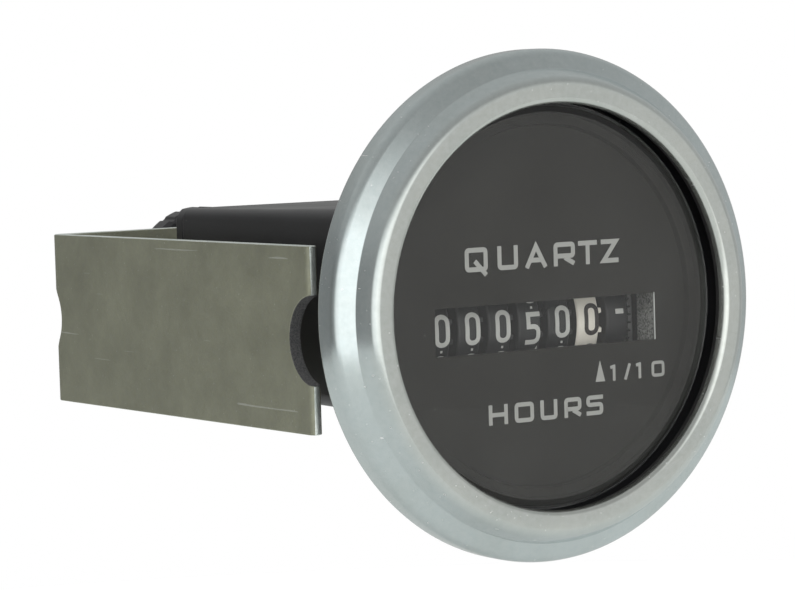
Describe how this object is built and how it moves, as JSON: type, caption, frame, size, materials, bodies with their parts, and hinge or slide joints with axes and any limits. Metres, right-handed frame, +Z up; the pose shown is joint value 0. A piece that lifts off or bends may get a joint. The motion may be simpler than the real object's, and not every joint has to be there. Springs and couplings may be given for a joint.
{
  "type": "hour meter",
  "caption": "Round panel-mount hour meter with plated bezel, drum counter behind a dial window, slim rear housing and a U-shaped clamp strap with thumb nut.",
  "frame": {"origin": "on the barrel's axis, at the rear face of the flange, where it meets the panel", "axes": "dial faces -Y, body runs back along +Y, +Z up, +X to the right of a person reading the dial"},
  "size_m": [0.06, 0.09, 0.06],
  "materials": {
    "zinc_plate": "bright zinc plate",
    "zinc_strap": "dull zinc plate with cut edges",
    "steel_hardware": "zinc-plated screws and washers",
    "window": "clear polished",
    "black_rubber": "matt",
    "dial_black": "fine matt grain",
    "case_black": "satin moulded",
    "nut_black": "satin moulded",
    "drum_black": "satin with white figures",
    "drum_white": "satin with black figures",
    "natural_nylon": "natural moulding",
    "brass": "plain",
    "plain_steel": "ground",
    "magnet": "sintered",
    "copper_winding": "enamelled wire",
    "board": "lacquered laminate",
    "tinned": "tinned",
    "component_black": "moulded",
    "capacitor_sleeve": "shrunk sleeve"
  },
  "bodies": {
    "meter": {"bezel": "zinc_plate", "lens_gasket": "black_rubber", "lens": "window", "dial": "dial_black", "case": "case_black", "rear_cover": "case_black", "cover_screws": "steel_hardware", "terminal_blade_left": "brass", "terminal_blade_right": "brass", "clamp_stud": "steel_hardware", "left_plate": "plain_steel", "right_plate": "plain_steel", "tie_bars": "brass", "drum_shaft": "plain_steel", "carry_shaft": "plain_steel", "shaft_clips": "plain_steel", "stator": "plain_steel", "coil_core": "plain_steel", "coil_bobbin": "natural_nylon", "coil_winding": "copper_winding", "motor_cradle": "natural_nylon", "circuit_board": "board", "quartz_crystal": "tinned", "driver_chip": "component_black", "smoothing_capacitor": "capacitor_sleeve", "resistors": "component_black", "protection_diode": "component_black", "supply_leads": "tinned", "board_posts": "case_black"},
    "washers": {"plain_washer": "steel_hardware", "spring_washer": "steel_hardware"},
    "strap": {"clamp_strap": "zinc_strap"},
    "nut": {"thumb_nut": "nut_black"},
    "run_drum": {"run_drum": "drum_black"},
    "ten_thousands_drum": {"ten_thousands_drum": "drum_black"},
    "thousands_drum": {"thousands_drum": "drum_black"},
    "hundreds_drum": {"hundreds_drum": "drum_black"},
    "tens_drum": {"tens_drum": "drum_black"},
    "units_drum": {"units_drum": "drum_black"},
    "tenths_drum": {"tenths_drum": "drum_white"},
    "ten_thousands_pinion": {"ten_thousands_carry_pinion": "natural_nylon"},
    "thousands_pinion": {"thousands_carry_pinion": "natural_nylon"},
    "hundreds_pinion": {"hundreds_carry_pinion": "natural_nylon"},
    "tens_pinion": {"tens_carry_pinion": "natural_nylon"},
    "units_pinion": {"units_carry_pinion": "natural_nylon"},
    "tenths_pinion": {"tenths_carry_pinion": "natural_nylon"},
    "idler": {"idler_arbor": "brass", "idler_pinion": "natural_nylon", "idler_wheel": "natural_nylon"},
    "rotor": {"rotor_arbor": "plain_steel", "rotor_pinion": "natural_nylon", "rotor_magnet": "magnet"}
  },
  "joints": [
    {"name": "run_drum_turn", "type": "hinge", "parent": "meter", "child": "run_drum", "pos_m": [0, 0.0087, -0.0025], "axis": [1, 0, 0], "continuous": true},
    {"name": "ten_thousands_turn", "type": "hinge", "parent": "meter", "child": "ten_thousands_drum", "pos_m": [0, 0.0087, -0.0025], "axis": [1, 0, 0], "continuous": true},
    {"name": "thousands_turn", "type": "hinge", "parent": "meter", "child": "thousands_drum", "pos_m": [0, 0.0087, -0.0025], "axis": [1, 0, 0], "continuous": true},
    {"name": "hundreds_turn", "type": "hinge", "parent": "meter", "child": "hundreds_drum", "pos_m": [0, 0.0087, -0.0025], "axis": [1, 0, 0], "continuous": true},
    {"name": "tens_turn", "type": "hinge", "parent": "meter", "child": "tens_drum", "pos_m": [0, 0.0087, -0.0025], "axis": [1, 0, 0], "continuous": true},
    {"name": "units_turn", "type": "hinge", "parent": "meter", "child": "units_drum", "pos_m": [0, 0.0087, -0.0025], "axis": [1, 0, 0], "continuous": true},
    {"name": "tenths_turn", "type": "hinge", "parent": "meter", "child": "tenths_drum", "pos_m": [0, 0.0087, -0.0025], "axis": [1, 0, 0], "continuous": true},
    {"name": "ten_thousands_pinion_turn", "type": "hinge", "parent": "meter", "child": "ten_thousands_pinion", "pos_m": [0, 0.0185, -0.0025], "axis": [1, 0, 0], "continuous": true},
    {"name": "thousands_pinion_turn", "type": "hinge", "parent": "meter", "child": "thousands_pinion", "pos_m": [0, 0.0185, -0.0025], "axis": [1, 0, 0], "continuous": true},
    {"name": "hundreds_pinion_turn", "type": "hinge", "parent": "meter", "child": "hundreds_pinion", "pos_m": [0, 0.0185, -0.0025], "axis": [1, 0, 0], "continuous": true},
    {"name": "tens_pinion_turn", "type": "hinge", "parent": "meter", "child": "tens_pinion", "pos_m": [0, 0.0185, -0.0025], "axis": [1, 0, 0], "continuous": true},
    {"name": "units_pinion_turn", "type": "hinge", "parent": "meter", "child": "units_pinion", "pos_m": [0, 0.0185, -0.0025], "axis": [1, 0, 0], "continuous": true},
    {"name": "tenths_pinion_turn", "type": "hinge", "parent": "meter", "child": "tenths_pinion", "pos_m": [0, 0.0185, -0.0025], "axis": [1, 0, 0], "continuous": true},
    {"name": "idler_turn", "type": "hinge", "parent": "meter", "child": "idler", "pos_m": [0, 0.01625, 0.0024], "axis": [1, 0, 0], "continuous": true},
    {"name": "rotor_turn", "type": "hinge", "parent": "meter", "child": "rotor", "pos_m": [0, 0.02432, 0.00009], "axis": [1, 0, 0], "continuous": true},
    {"name": "clamp_slide", "type": "slide", "parent": "meter", "child": "washers", "axis": [0, 1, 0], "range_m": [-0.006, 0.003]},
    {"name": "strap_swivel", "type": "hinge", "parent": "washers", "child": "strap", "pos_m": [0, 0.0693, 0], "axis": [0, 1, 0], "range_deg": [-90, 90]},
    {"name": "nut_turn", "type": "hinge", "parent": "washers", "child": "nut", "pos_m": [0, 0.076, 0], "axis": [0, 1, 0], "range_deg": [-2701, 1351]}
  ],
  "couplings": [
    {"joint": "ten_thousands_turn", "follows": "run_drum_turn", "ratio": 0.000001},
    {"joint": "thousands_turn", "follows": "run_drum_turn", "ratio": 0.00001},
    {"joint": "hundreds_turn", "follows": "run_drum_turn", "ratio": 0.0001},
    {"joint": "tens_turn", "follows": "run_drum_turn", "ratio": 0.001},
    {"joint": "units_turn", "follows": "run_drum_turn", "ratio": 0.01},
    {"joint": "tenths_turn", "follows": "run_drum_turn", "ratio": 0.1},
    {"joint": "ten_thousands_pinion_turn", "follows": "run_drum_turn", "ratio": -0.0000025},
    {"joint": "thousands_pinion_turn", "follows": "run_drum_turn", "ratio": -0.000025},
    {"joint": "hundreds_pinion_turn", "follows": "run_drum_turn", "ratio": -0.00025},
    {"joint": "tens_pinion_turn", "follows": "run_drum_turn", "ratio": -0.0025},
    {"joint": "units_pinion_turn", "follows": "run_drum_turn", "ratio": -0.025},
    {"joint": "tenths_pinion_turn", "follows": "run_drum_turn", "ratio": -0.25},
    {"joint": "idler_turn", "follows": "run_drum_turn", "ratio": -5},
    {"joint": "rotor_turn", "follows": "run_drum_turn", "ratio": 30},
    {"joint": "nut_turn", "follows": "clamp_slide", "rad_per_m": 7854}
  ]
}
